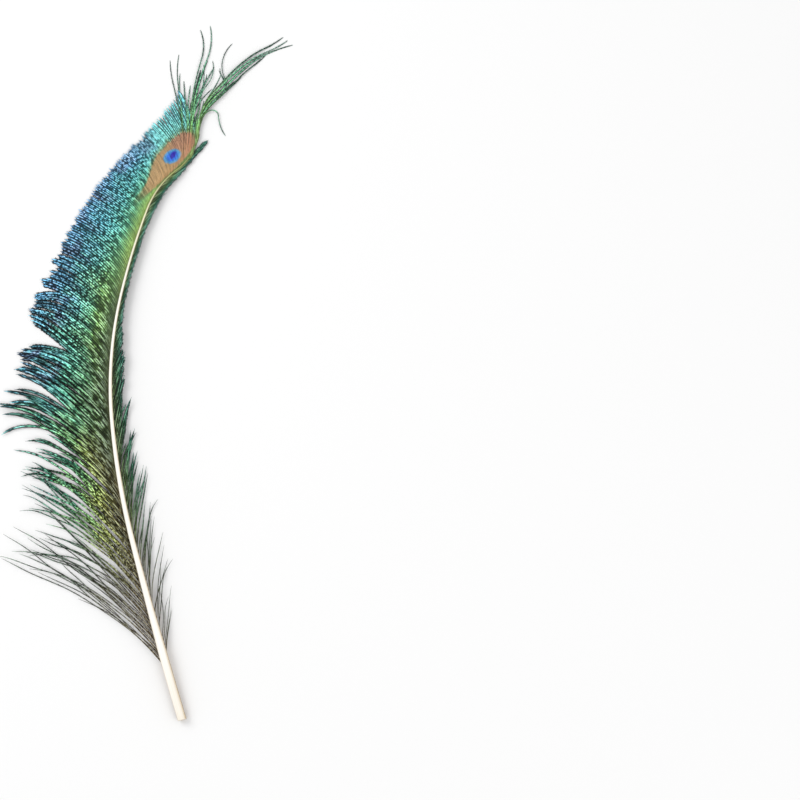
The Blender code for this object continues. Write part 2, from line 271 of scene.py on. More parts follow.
OUTER_TUFTS = ((1, 0.0), (2, 0.4), (2, 0.4), (2, 0.4), (1, 0.0), (2, 0.5), (3, 0.4), (2, 0.4), (2, 0.5),
               (6, 0.4), (5, 0.45))
OUTER_PIECES = 6

# How the locks and the barbs run. Where a value hangs on looseness, its second number is what that adds.
LOCK_SEED = 5
BARB_SEED = 21
STATIONS = 150
FULL_LENGTH = 120
TABLE_SHARE = 0.78
LANDING_POWER = 1.4
LOCK_EDGE = 0.0004
ROOT_OVERLAP = 0.00012
SWAY = 8.0
END_ROOM = 0.0008
LEAST_ROOM = 0.0006
LEAST_PARTED = 0.01
NARROWING_POWER = 1.5
OPENING_SHARE = 0.2
SEAT_SPREAD = (0.02, 0.04)
STRAY_FROM = 0.55
STRAY_SPREAD = (0.06, 0.30)
SHORTFALL = (0.022, 0.22)
SHORTEST = 0.35
LONGEST = 1.02
WAVE_PITCH = 0.018
WAVE_CHANGES = (0.6, 1.4)
WAVE_RATES = (2.0, 4.0, 2.6)
QUICK_SHARE = 0.7
STEADY_ROOT = 0.15
SWING = (0.00005, 0.0007)
SPLAY = 0.09
SPLAY_POWER = 2.5
RISE = (0.00010, 0.0006)
LIFT = 0.0014

# How a rib and its comb of barbules are shaped. A kind of comb has its droop and its unevenness in degrees.
UP = np.array((0.0, 0.0, 1.0))
STEP = 0.00040
RIB_WIDTH = 0.00013
RIB_HEIGHT = 0.00011
RIB_TAPER = 0.75
LEAN = 38.0
CLEAR = 0.00004
COMB = (("fringe", 0.14, 8.0), ("web", 0.40, 3.0))
REACH_CHANGES = (0.75, 1.2)
DROOP_CHANGE = 0.08
ROOT_REACH = 0.25
ROOT_RUN = 0.004
TIP_REACH = 0.15
TIP_RUN = (0.0010, 0.010)
BARE_SHARE = 0.75
BARE_TO = 0.6
WEB_END = 0.0022
WEB_END_REACH = 0.3

# Heights on a barb's row of the map for each kind of face, at its foot and at its far side, and the
# layer of each kind: 1 for what is seen from above, 0 for the underside and the web.
MAP_MARGIN = 0.01
MAP_LEAN = 0.6
MAP_BANDS = {"left side": (0.36, 0.42), "right side": (0.30, 0.36), "underside": (0.74, 0.80),
             "left barbules": (0.42, 0.70), "right barbules": (0.30, 0.03),
             "left web": (0.82, 0.89), "right web": (0.91, 0.98)}
MAP_ROOT_END = ((0.002, 0.30), (0.006, 0.36), (0.002, 0.42))
MAP_TIP_SHIFT = (0.99, 0.0)
LAYERS = (1.0, 1.0, 0.0, 1.0, 1.0, 0.0, 0.0, 1.0, 1.0)

# Colours from the shaft to the margin, for six stretches of the shaft.
OUTER_LOWEST = ((0.0, 0.19, 0.125, 0.055), (0.30, 0.12, 0.095, 0.045), (0.60, 0.05, 0.06, 0.035),
                (0.85, 0.045, 0.08, 0.045), (1.0, 0.06, 0.15, 0.06))
OUTER_LOW = ((0.0, 0.19, 0.13, 0.055), (0.18, 0.17, 0.14, 0.05), (0.30, 0.26, 0.25, 0.065),
             (0.42, 0.36, 0.43, 0.09), (0.58, 0.20, 0.44, 0.13), (0.78, 0.07, 0.38, 0.22),
             (1.0, 0.05, 0.18, 0.17))
OUTER_MIDDLE = ((0.0, 0.11, 0.095, 0.045), (0.15, 0.085, 0.12, 0.05), (0.30, 0.13, 0.23, 0.08),
                (0.45, 0.13, 0.36, 0.18), (0.60, 0.13, 0.52, 0.36), (0.78, 0.10, 0.38, 0.42),
                (1.0, 0.13, 0.48, 0.64))
OUTER_BAND = ((0.0, 0.12, 0.13, 0.065), (0.15, 0.12, 0.19, 0.08), (0.32, 0.27, 0.50, 0.15),
              (0.45, 0.20, 0.54, 0.30), (0.60, 0.13, 0.48, 0.40), (0.75, 0.09, 0.33, 0.46),
              (1.0, 0.14, 0.44, 0.74))
OUTER_HIGH = ((0.0, 0.34, 0.40, 0.13), (0.12, 0.37, 0.56, 0.17), (0.20, 0.30, 0.57, 0.21),
              (0.32, 0.17, 0.56, 0.35), (0.52, 0.12, 0.54, 0.52), (0.76, 0.12, 0.49, 0.62),
              (0.92, 0.19, 0.46, 0.80), (1.0, 0.34, 0.62, 0.95))
OUTER_TOP = ((0.0, 0.34, 0.46, 0.15), (0.25, 0.40, 0.66, 0.28), (0.42, 0.34, 0.82, 0.64),
             (0.70, 0.30, 0.92, 0.88), (1.0, 0.32, 0.86, 0.95))
OUTER_BANDS = ((0.14, 0.24, OUTER_LOW), (0.32, 0.46, OUTER_MIDDLE), (0.50, 0.62, OUTER_BAND),
               (0.66, 0.77, OUTER_HIGH), (0.87, 0.93, OUTER_TOP))

# A band is where a change starts and ends, and the values before and after it if they aren't 0 and 1.
# A noise is its pitch in metres and its seed or its shift.
BARBULE_SHEEN = (0.55, 0.2, 0.2)
DRIFT_NOISE = (0.012, 0.3)
DRIFT = 0.6
FUZZ_NOISE = (0.006, 173.0)
FUZZ = 0.35
EYE_FUZZ = 0.8
VIOLET = (0.11, 0.14, 0.30)
VIOLET_NOISE = (0.008, 1.9)
VIOLET_PATCHES = (0.50, 0.62)
VIOLET_REACH = (0.62, 0.80)
VIOLET_FROM = (0.40, 0.48)
VIOLET_FADE = (0.64, 0.74, 0.8, 0.45)

UPWARD_BAND = (0.45, 0.80)
TOP_EVENNESS = 0.10
LOOSE_CONTRAST = (0.14, 0.30, 0.70, 1.0)
FINE_NOISE = (0.0013, 311.0)
FINE_PATCHES = (0.0011, 2.3)
FINE_MIX = (0.55, 0.45)
COARSE_NOISE = (0.0046, 97.0)
STREAK_LENGTH = (0.2, 1.0, 0.010, 0.0)
FINE_REACH = (0.005, 0.018)
LOWEST_FINE = (0.22, 0.32, 1.0, 0.0)
STREAKS_FROM = (0.28, 0.38, 1.0, 0.35)
STREAKS_TO = (0.40, 0.62, 0.35, 1.0)
# The beads are painted highlights and shade along the barbs, where the twisting barbules catch or lose the
# light.
BEAD_EDGES = (0.41, 0.58, -1.0, 1.0)
BEAD_STRENGTHS = (0.0, 1.0, 0.70, 0.92)
# Painted glint: a pale tint mixed into the colour where the beads are brightest.
PAINTED_GLINT_TINT = (0.80, 1.0, 0.90)
PAINTED_GLINT_SHARE = 0.15
BARB_SHADES = (0.0, 1.0, -1.0, 1.0)
BARB_CHANGES = (0.58, 0.76, 0.52, 0.12)
LEAST_CHANGE = 0.60
# Painted shade between the barbs: the barbules darken towards their free tips.
PAINTED_TIP_SHADE = (0.30, 1.0, 1.0, 0.35)
# Painted shade: the web and the ribs' undersides are dark as the shade between and under the barbs, lighter
# where the barbules lie even.
WEB_SHADOW_TINT = (0.045, 0.085, 0.080)
WEB_SHADOW_SHARE = 0.6
WEB_PAINTED_SHADES = (0.0, 1.0, 0.07, 0.30)
WEB_CALM = (0.50, 0.70, 0.30, 1.0)
WEB_BRIGHTEST = 0.9

# Where the barbules are even: how far so, the band of the shaft, and the band of what else it hangs on.
COPPER_CALM = 0.85
TOP_CALM = 0.5
TOP_CALM_BAND = (0.88, 0.94)
CALMS = ((0.75, (0.64, 0.76), "reading", (0.20, 0.38, 1.0, 0.0)),
         (0.75, (0.28, 0.42), "reached", (0.005, 0.011, 1.0, 0.0)),
         (0.5, (0.64, 0.74), "along", (0.90, 1.0)))

EYE_PATCH = {"centre": (0.0084, 0.0963), "turn": 46.5, "size": (0.0193, 0.0054)}
EYE_PUPIL = {"centre": (0.0123, 0.0999), "turn": 31.0, "size": (0.0043, 0.0030)}
EYE_HEART = {"centre": (0.0127, 0.1005), "turn": 59.0, "size": (0.0022, 0.0012)}
EYE_TAIL = (-0.80, 0.15)
TAIL_WIDTH = 0.36
TAIL_DROP = 0.50
KHAKI = (0.22, 0.31, 0.12)
KHAKI_EDGE = (1.0, 1.5, 0.75, 0.0)
COPPER = (0.60, 0.41, 0.21)
COPPER_EDGE = (0.88, 1.10, 1.0, 0.0)
COPPER_END = (-1.05, -0.55)
COPPER_PINK = (0.62, 0.35, 0.22)
PINK_BAND = (0.6, 1.2)
PINK_NOISE = (0.004, 0.7)
PUPIL_FUZZ = 0.7
RIM_BLUE = (0.14, 0.44, 0.74)
RIM_EDGE = (0.88, 1.14, 1.0, 0.0)
PUPIL_BLUE = (0.07, 0.25, 0.86)
PUPIL_EDGE = (0.50, 0.88, 1.0, 0.0)
HEART_INDIGO = (0.06, 0.045, 0.52)
HEART_EDGE = (0.6, 1.2, 1.0, 0.0)


def lock_lines(vane, margin, count, spread, side, locks_chance):
    """Middle lines of a vane's locks as an array of locks by stations by x, y, z, and the locks' values.

    A lock's heading leaves the shaft at the root heading, settles on the outer heading as one minus an
    exponential, and curls by the square of the way along its second half. What is left of its fall from
    the shaft goes as a power of the way that is left to the share at which it lies on the table. The
    lines run on past the locks' full length, because single barbs outreach their lock.
    """
    share = np.interp(np.linspace(0.0, 1.0, count), *spread)
    value = {key: np.interp(share, vane["share"], vane[key])[:, None] for key in vane}
    uneven = locks_chance.uniform(-1.0, 1.0, (3, count, 1)) * value["uneven"]
    length = np.interp(share, *margin)[:, None] * (1 - value["uneven"] / 2 + uneven[0] / 2)
    along = np.arange(STATIONS + 1) / FULL_LENGTH
    settled = (1 - np.exp(-along / value["settle"])) / (1 - np.exp(-1 / value["settle"]))
    heading = value["root"] + (value["outer"] - value["root"]) * settled
    curled = np.clip(2 * along - 1, 0.0, 1.0) ** 2
    heading = heading + value["curl"] * (1 + uneven[1]) * curled + SWAY * uneven[2] * along
    root_x, root_y, root_z = shaft_point(value["share"])
    x, y = walk(heading, length * along[-1], (root_x + side * ROOT_OVERLAP, root_y))
    fallen = 1 - np.clip(1 - along / TABLE_SHARE, 0.0, 1.0) ** LANDING_POWER
    z = (root_z - LOCK_EDGE / 2) * (1 - value["fall"] * fallen)
    value["length"] = length
    return np.stack([x, y, z], axis=-1), value, along


def gather(middle, narrowed, tufts):
    """Middle lines drawn towards the mean line of their tuft, and the share of the room this leaves them."""
    drawn = middle.copy()
    room = np.ones(narrowed.shape)
    first = 0
    for locks, pull in tufts:
        tuft = slice(first, first + locks)
        pulled = pull * narrowed[tuft]
        drawn[tuft] += (middle[tuft].mean(axis=0) - middle[tuft]) * pulled[..., None]
        room[tuft] -= pulled
        first += locks
    return drawn, room


def squared(out, outward, share):
    """Offsets from a lock's middle line to one beside it, turned that share of the way square to the lock."""
    reach = np.maximum((out * outward).sum(axis=-1, keepdims=True), LEAST_ROOM)
    return out + (outward * reach - out) * share[..., None]


def lock_room(middle, value, along, tufts, side):
    """Lines between the locks, the locks' middle lines drawn in, how far they narrow, and their widths.

    A line between two locks is half way between their middle lines, and the first and last lines stand
    off square to the chord. Past the share at which a lock parts, it narrows by a power of the way on.
    """
    chord = middle[[0, -1], FULL_LENGTH] - middle[[0, -1], 0]
    room = END_ROOM / np.hypot(chord[:, 0], chord[:, 1])[:, None]
    above = side * np.stack((chord[:, 1], -chord[:, 0], 0 * chord[:, 0]), axis=-1) * room
    between = (middle[1:] + middle[:-1]) / 2
    line = np.concatenate([middle[:1] - above[0], between, middle[-1:] + above[1]])
    past = (along - value["part"]) / np.maximum(1 - value["part"], LEAST_PARTED)
    narrowed = np.clip(past, 0.0, 1.0) ** NARROWING_POWER
    drawn, left_room = gather(middle, narrowed, tufts)
    opened = np.clip(past / OPENING_SHARE, 0.0, 1.0)
    width = (1 + (value["fill"] - 1) * opened) * (1 - (1 - value["tip"]) * narrowed) * left_room
    return line, drawn, narrowed, width


def loosened(pair, loose):
    """Value of a close barb, and the share of the pair's second value that looseness adds to it."""
    return pair[0] + pair[1] * loose


def swayed(path, own, chance):
    """Barbs' lines swayed to the side as two slow sine waves and in height as a third, from the root on.

    A loose barb also splays to its side by a power of the way along, and lifts by the way's square.
    """
    barbs, loose, along = len(path), own["loose"], own["along"]
    phase = chance.uniform(0, 2 * np.pi, (3, barbs, 1))
    waves = chance.uniform(*WAVE_CHANGES, (3, barbs, 1)) * own["reached"] / WAVE_PITCH
    slow, quick, upright = np.sin(waves * np.reshape(WAVE_RATES, (3, 1, 1)) + phase)
    grow = np.clip(along / STEADY_ROOT, 0.0, 1.0)
    swing = (slow + QUICK_SHARE * quick) * loosened(SWING, loose * along) * grow
    swing = swing + chance.normal(0, SPLAY, (barbs, 1)) * loose * own["length"] * along ** SPLAY_POWER
    rise = (upright + 1) / 2 * loosened(RISE, loose * along) * grow
    rise = rise + np.abs(chance.normal(0, 1, (barbs, 1))) * LIFT * loose * along ** 2
    path = path + directions(path)[1] * swing[..., None]
    path[..., 2] = np.maximum(path[..., 2] + own["crest"] * grow + rise, RIB_HEIGHT + CLEAR)
    return path


def barb_paths(vane, margin, count, spread, tufts, side, locks_chance, chance):
    """Barbs' middle lines as an array of barbs by stations by x, y, z, with the values that go with them.

    Barbs lie side by side between the lines half way to the neighbouring locks, and draw in towards the
    middle of their lock past the share at which it parts. They stray from their seats by the square of
    the way along its last part. The middle barb of a lock has its full length, and the others fall short
    of it by chance.
    """
    middle, value, along = lock_lines(vane, margin, count, spread, side, locks_chance)
    line, drawn, narrowed, width = lock_room(middle, value, along, tufts, side)
    held = np.round(value["barbs"][:, 0]).astype(int)
    lock = np.repeat(np.arange(count), held)
    barbs = len(lock)
    own = {key: value[key][lock] for key in value}
    number_in = np.arange(barbs) - np.repeat(np.cumsum(held) - held, held)
    seat = ((2 * number_in + 1) / held[lock] - 1)[:, None]
    seat = seat + chance.normal(0, 1, (barbs, 1)) * loosened(SEAT_SPREAD, own["loose"])
    straying = np.clip((along - STRAY_FROM) / (1 - STRAY_FROM), 0.0, 1.0) ** 2
    strayed = seat + chance.normal(0, 1, (barbs, 1)) * straying * loosened(STRAY_SPREAD, own["loose"])
    hand = -side * np.sign(seat)[..., None]
    edge = np.where((seat < 0)[..., None], line[lock], line[lock + 1])
    out = squared(edge - middle[lock], hand * directions(middle)[1][lock], narrowed[lock])
    path = drawn[lock] + out * (strayed * np.sign(seat) * width[lock])[..., None]

    own["share"] = own["share"] + seat * 0.5 * np.gradient(value["share"][:, 0])[lock][:, None]
    own["strand"] = chance.uniform(0.0, 1.0, (barbs, 1))
    short = np.abs(chance.normal(0, 1, (barbs, 1))) * loosened(SHORTFALL, own["loose"])
    leader = (number_in == held[lock] // 2)[:, None]
    reach = np.clip(np.where(leader, LONGEST, LONGEST - short), SHORTEST, LONGEST)
    place = np.linspace(0.0, 1.0, STATIONS + 1) * reach * FULL_LENGTH
    low = np.minimum(place.astype(int), STATIONS - 1)
    part = (place - low)[..., None]
    number = np.arange(barbs)[:, None]
    path = path[number, low] * (1 - part) + path[number, low + 1] * part
    own["along"] = place / FULL_LENGTH
    own["reached"] = own["length"] * own["along"]
    return swayed(path, own, chance), own


def comb_reaches(own, along):
    """Reach of each kind of comb on every step of a barb, square to the rib.

    It grows in line with the way from the root and falls in line with what is left to the tip, sooner on
    a loose barb, whose lower part is nearly bare. The web falls once more at the very tip.
    """
    left_over = own["reached"][:, -1:] - own["reached"]
    grown = np.clip(ROOT_REACH + own["reached"] / ROOT_RUN, 0.0, 1.0)
    grown = grown * np.clip(TIP_REACH + left_over / loosened(TIP_RUN, own["loose"]), 0.0, 1.0)
    grown = grown * (1 - own["loose"] * BARE_SHARE * np.clip(1 - along / BARE_TO, 0.0, 1.0))
    grown = (grown[:, 1:] + grown[:, :-1]) / 2
    drawn_in = np.clip(left_over[:, 1:] / WEB_END, WEB_END_REACH, 1.0)
    return {"fringe": own["fringe"] * grown, "web": own["web"] * grown * drawn_in}


def comb_corners(edges, tangent, left, reaches, chance):
    """Free corners of the comb: the tips of the upper barbules, then the far corners of the web's pieces.

    A barbule stands on the middle of its step, and a piece of the web on both of its ends. Both lean
    forward from the rib by the lean angle and droop, more or less by chance.
    """
    corners = []
    for kind, sag, uneven in COMB:
        for side, edge in zip((1, -1), edges):
            steps = reaches[kind].shape
            lean = np.radians(LEAN + chance.normal(0, uneven, steps))
            size = reaches[kind] * chance.uniform(*REACH_CHANGES, steps) / np.sin(np.radians(LEAN))
            droop = chance.normal(sag, DROOP_CHANGE, steps)
            forward, outward = np.cos(lean)[..., None], np.sin(lean)[..., None]
            stretch = tangent[:, 1:] * forward + left[:, 1:] * side * outward - UP * droop[..., None]
            feet = (edge[:, :-1], edge[:, 1:]) if kind == "web" else ((edge[:, 1:] + edge[:, :-1]) / 2,)
            for foot in feet:
                corner = foot + stretch * size[..., None]
                corner[..., 2] = np.maximum(corner[..., 2], CLEAR)
                corners.append(corner)
    return corners


def barb_faces(barbs, stations, free_sets):
    """Faces in nine groups: a rib's two upper sides and its underside, the upper barbules and the web's
    pieces to its left and right, and its ends at the root and the tip."""
    points, steps = barbs * stations, barbs * (stations - 1)
    crest = (np.arange(barbs)[:, None] * stations + np.arange(stations - 1)).ravel()
    left, right = crest + points, crest + 2 * points
    free = 3 * points + np.arange(free_sets)[:, None] * steps + np.arange(steps)
    upper_left, upper_right, web_left, next_left, web_right, next_right = free
    root, tip = slice(0, None, stations - 1), slice(stations - 2, None, stations - 1)
    groups = ((crest, crest + 1, left + 1, left),
              (right, right + 1, crest + 1, crest),
              (left, left + 1, right + 1, right),
              (left, left + 1, upper_left),
              (right + 1, right, upper_right),
              (left, left + 1, next_left, web_left),
              (right + 1, right, web_right, next_right),
              (crest[root], left[root], right[root]),
              (crest[tip] + 1, right[tip] + 1, left[tip] + 1))
    return [np.stack(group, axis=-1) for group in groups]


def barb_map(barbs, stations):
    """Map of the nine groups of faces: each barb has a row of its own, with a band for each kind."""
    row = np.repeat(np.arange(barbs), stations - 1)
    wide = (1 - 2 * MAP_MARGIN) / (stations - 1)
    start = MAP_MARGIN + wide * np.tile(np.arange(stations - 1), barbs)
    stop = start + wide
    middle, ahead, past = (spot + MAP_LEAN * wide for spot in ((start + stop) / 2, start, stop))

    def mapped(kind, feet, far):
        """Map of one kind of face, with its feet at the band's first height and the rest at its second."""
        low, high = MAP_BANDS[kind]
        spots = [(u, low) for u in feet] + [(u, high) for u in far]
        return np.stack([np.stack([u, (row + v) / barbs], axis=-1) for u, v in spots], axis=1)

    root_end = np.stack([np.stack([np.full(barbs, u), (np.arange(barbs) + v) / barbs], axis=-1)
                         for u, v in MAP_ROOT_END], axis=1)
    return [mapped("left side", (start, stop), (stop, start)),
            mapped("right side", (start, stop), (stop, start)),
            mapped("underside", (start, stop), (stop, start)),
            mapped("left barbules", (start, stop), (middle,)),
            mapped("right barbules", (stop, start), (middle,)),
            mapped("left web", (start, stop), (past, ahead)),
            mapped("right web", (stop, start), (ahead, past)),
            root_end, root_end + MAP_TIP_SHIFT]


def keep(piece, key, values, domain):
    """Store a value on every point or face of a piece, for its material to read."""
    attribute = piece.data.attributes.new(key, "FLOAT", domain)
    attribute.data.foreach_set("value", values.astype(np.float32))


def barb_mesh(name, path, own, material, chance):
    """Barbs as ribs of triangular section, with a comb of barbules on each side of a rib.

    A rib's two lower edges and its crest follow the path, tapering to the tip. On each step of an edge
    stands an upper barbule, a triangle, and under it a piece of the web, which is as wide at its end as at
    its foot, so that the web closes. Each point keeps the values that its colour is worked out from, and
    the comb's free corners take those of the middle of their step.
    """
    barbs, stations = path.shape[:2]
    tangent, left = directions(path)
    along = own["along"] / own["along"][:, -1:]
    taper = (1 - RIB_TAPER * along)[..., None]
    crest = path + UP * RIB_HEIGHT * taper
    edges = [path + left * RIB_WIDTH * taper * side - UP * RIB_HEIGHT * taper for side in (1, -1)]
    corners = comb_corners(edges, tangent, left, comb_reaches(own, along), chance)
    places = np.concatenate([grid.reshape(-1, 3) for grid in (crest, *edges, *corners)])
    faces = barb_faces(barbs, stations, len(corners))
    piece = new_piece(name, places, faces, barb_map(barbs, stations), material)

    for key, source in (("along", "along"), ("reached", "reached"), ("root", "share"), ("strand", "strand")):
        rib = own[source] * np.ones((barbs, stations))
        comb = (rib[:, 1:] + rib[:, :-1]) / 2
        values = np.concatenate([np.tile(rib.ravel(), 3), np.tile(comb.ravel(), len(corners))])
        keep(piece, key, values, "POINT")
    keep(piece, "across", np.repeat((0.0, 1.0), (3 * rib.size, len(corners) * comb.size)), "POINT")
    keep(piece, "layer", np.repeat(LAYERS, [len(group) for group in faces]), "FACE")


def add_barbs(name, pieces, path, own, material, chance):
    """The barbs as pieces of like length, with their stations respaced to the step on each piece."""
    for number, group in enumerate(np.array_split(np.arange(len(path)), pieces)):
        steps = int(np.ceil(own["reached"][group, -1].max() / STEP))
        at = np.linspace(0, STATIONS, steps + 1)
        low = np.minimum(at.astype(int), STATIONS - 1)
        part = at - low
        finer = path[group][:, low] * (1 - part)[:, None] + path[group][:, low + 1] * part[:, None]
        theirs = {key: own[key][group] for key in own}
        for key in ("along", "reached"):
            theirs[key] = theirs[key][:, low] * (1 - part) + theirs[key][:, low + 1] * part
        barb_mesh(f"{name}_{number + 1}", finer, theirs, material, chance)


def read(tree, name):
    """Value of a piece's own attribute."""
    return node(tree, "Attribute", attribute_name=name).outputs["Fac"]


def up_shaft(tree, *band):
    """Value that changes over a band of the shaft's length, read where the barb stands on the shaft."""
    return ranged(tree, read(tree, "root"), *band)


def reckon(tree, operation, a, b=0.0, clamp=False):
    """Result of a sum on two sockets or numbers."""
    made = node(tree, "Math", operation=operation, use_clamp=clamp)
    for socket, value in zip(made.inputs, (a, b)):
        if isinstance(value, bpy.types.NodeSocket):
            tree.links.new(value, socket)
        else:
            socket.default_value = value
    return made.outputs[0]


def plus(tree, a, b):
    """Sum of two sockets or numbers."""
    return reckon(tree, "ADD", a, b)


def minus(tree, a, b):
    """First of two sockets or numbers, less the second."""
    return reckon(tree, "SUBTRACT", a, b)


def times(tree, a, b):
    """Product of two sockets or numbers."""
    return reckon(tree, "MULTIPLY", a, b)


def larger(tree, a, b):
    """Larger of two sockets or numbers."""
    return reckon(tree, "MAXIMUM", a, b)


def barb_noise(tree, pitch, seed):
    """Noise along each barb, with its own run on every barb, repeating at about the pitch in metres."""
    spot = node(tree, "CombineXYZ", x=times(tree, read(tree, "reached"), 1 / pitch),
                y=times(tree, read(tree, "strand"), seed)).outputs["Vector"]
    return node(tree, "TexNoise", noise_dimensions="2D", scale=1.0, detail=1.0, vector=spot).outputs["Fac"]


def plan_noise(tree, pitch, shift):
    """Noise over the whole vane, with patches of about the pitch in metres."""
    where = node(tree, "TexCoord").outputs["Object"]
    moved = node(tree, "Mapping", location=(shift, shift, 0.0), vector=where).outputs["Vector"]
    return node(tree, "TexNoise", scale=1 / pitch, detail=2.0, vector=moved).outputs["Fac"]


def centred(tree, noise, strength):
    """Noise moved to swing about nought, and times its strength."""
    return times(tree, minus(tree, noise, 0.5), strength)


def ellipse(tree, spot, tailed=False):
    """Distance from the middle of a turned ellipse, 1 at its edge, in plan, and the way along it, -1 to 1.

    A tailed one is blunter, by the fourth power of the way along, and it narrows and drops towards -1.
    """
    local = node(tree, "Mapping", vector_type="TEXTURE", vector=node(tree, "TexCoord").outputs["Object"],
                 location=(*spot["centre"], 0.0), rotation=(0.0, 0.0, np.radians(spot["turn"])),
                 scale=(*spot["size"], 1.0))
    split = node(tree, "SeparateXYZ", vector=local.outputs["Vector"])
    way, wide = split.outputs["X"], split.outputs["Y"]
    if tailed:
        wide = plus(tree, wide, ranged(tree, way, *EYE_TAIL, TAIL_DROP, 0.0))
        wide = reckon(tree, "DIVIDE", wide, ranged(tree, way, *EYE_TAIL, TAIL_WIDTH, 1.0))
    powers = plus(tree, reckon(tree, "POWER", reckon(tree, "ABSOLUTE", way), 4.0 if tailed else 2.0),
                  reckon(tree, "POWER", reckon(tree, "ABSOLUTE", wide), 2.0))
    return reckon(tree, "SQRT", powers), way


def eye_marked(tree, colour, ragged):
    """The colour with the eye laid over it, a copper patch with a blue pupil and the pupil's indigo heart,
    and the share of copper. What is ragged moves the patch's edge in and out."""
    patch, way = ellipse(tree, EYE_PATCH, tailed=True)
    patch = plus(tree, patch, ragged)
    copper = times(tree, ranged(tree, patch, *COPPER_EDGE), ranged(tree, way, *COPPER_END))
    pink = ranged(tree, plus(tree, way, plan_noise(tree, *PINK_NOISE)), *PINK_BAND)
    pupil = plus(tree, ellipse(tree, EYE_PUPIL)[0], times(tree, ragged, PUPIL_FUZZ))
    heart = ellipse(tree, EYE_HEART)[0]
    colour = mixed(tree, ranged(tree, patch, *KHAKI_EDGE), colour, KHAKI)
    colour = mixed(tree, copper, colour, mixed(tree, pink, COPPER, COPPER_PINK))
    for distance, edge, tint in ((pupil, RIM_EDGE, RIM_BLUE), (pupil, PUPIL_EDGE, PUPIL_BLUE),
                                 (heart, HEART_EDGE, HEART_INDIGO)):
        colour = mixed(tree, ranged(tree, distance, *edge), colour, tint)
    return colour, copper


def grey(tree, value):
    """Grey colour of a value."""
    return node(tree, "CombineColor", red=value, green=value, blue=value).outputs["Color"]


def beads(tree, upward):
    """Painted highlights and shade as beads along each barb, from -1 where shaded to 1 where lit, and how
    fine they are, from 0 to 1.

    They are long streaks by the shaft, up to the middle of the feather, and short further out and on the
    lowest barbs: two noises are mixed by how fine the beads are, and cut off at the bead's edges.
    """
    fine = plus(tree, times(tree, barb_noise(tree, *FINE_NOISE), FINE_MIX[0]),
                times(tree, plan_noise(tree, *FINE_PATCHES), FINE_MIX[1]))
    outward = minus(tree, read(tree, "reached"), ranged(tree, upward, *STREAK_LENGTH))
    fineness = larger(tree, ranged(tree, outward, *FINE_REACH), up_shaft(tree, *LOWEST_FINE))
    streaked = larger(tree, up_shaft(tree, *STREAKS_TO), up_shaft(tree, *STREAKS_FROM))
    fineness = times(tree, fineness, streaked)
    run = plus(tree, times(tree, fine, fineness),
               times(tree, barb_noise(tree, *COARSE_NOISE), minus(tree, 1.0, fineness)))
    return ranged(tree, run, *BEAD_EDGES), fineness


def barb_finish(tree, shader, colour, contrast):
    """Painted highlights and shade as beads, with a painted glint where they are brightest, and changes of
    tone from barb to barb, by the contrast, with painted shade between the barbs on the barbules' tips and
    the web, and all of it more even towards the feather's tip."""
    upward = up_shaft(tree, *UPWARD_BAND)
    calm = minus(tree, 1.0, contrast)
    contrast = times(tree, contrast, minus(tree, 1.0, times(tree, upward, TOP_EVENNESS)))
    contrast = times(tree, contrast, up_shaft(tree, *LOOSE_CONTRAST))
    # Painted highlights and shade: bright and dark beads along the barbs, times the barb's own tone.
    bead, fineness = beads(tree, upward)
    beaded = times(tree, contrast, ranged(tree, fineness, *BEAD_STRENGTHS))
    light_and_tone = plus(tree, 1.0, times(tree, bead, beaded))
    single = times(tree, ranged(tree, read(tree, "strand"), *BARB_SHADES), up_shaft(tree, *BARB_CHANGES))
    single = times(tree, single, larger(tree, contrast, LEAST_CHANGE))
    light_and_tone = times(tree, light_and_tone, plus(tree, 1.0, single))
    # Painted shade between the barbs, darker towards the barbules' tips.
    tips = ranged(tree, read(tree, "across"), *PAINTED_TIP_SHADE)
    # Painted highlight: a pale glint where the beads are bright.
    painted_glint = reckon(tree, "MULTIPLY", times(tree, bead, contrast), PAINTED_GLINT_SHARE, clamp=True)
    lit = mixed(tree, painted_glint, colour, PAINTED_GLINT_TINT)
    lit = mixed(tree, 1.0, lit, grey(tree, times(tree, light_and_tone, tips)), "MULTIPLY")
    # Painted shade on the web: darker low on the shaft, lighter higher up and where the barbules lie even.
    shade = ranged(tree, upward, *WEB_PAINTED_SHADES)
    calm = times(tree, calm, up_shaft(tree, *WEB_CALM))
    shade = plus(tree, shade, times(tree, calm, minus(tree, WEB_BRIGHTEST, shade)))
    dark = grey(tree, times(tree, tips, shade))
    web = mixed(tree, 1.0, mixed(tree, WEB_SHADOW_SHARE, colour, WEB_SHADOW_TINT), dark, "MULTIPLY")
    tree.links.new(mixed(tree, read(tree, "layer"), web, lit), shader.inputs["Base Color"])


def calmness(tree, reading, copper):
    """How even the barbules are, 0 to 1: the largest of the calms on the copper, at the top, by the shaft and
    along the upper margin."""
    sources = {"reading": reading, "reached": read(tree, "reached"), "along": read(tree, "along")}
    calm = times(tree, up_shaft(tree, *TOP_CALM_BAND), TOP_CALM)
    calm = larger(tree, calm, times(tree, copper, COPPER_CALM))
    for strength, band, source, reach in CALMS:
        even = times(tree, up_shaft(tree, *band), ranged(tree, sources[source], *reach))
        calm = larger(tree, calm, times(tree, even, strength))
    return calm


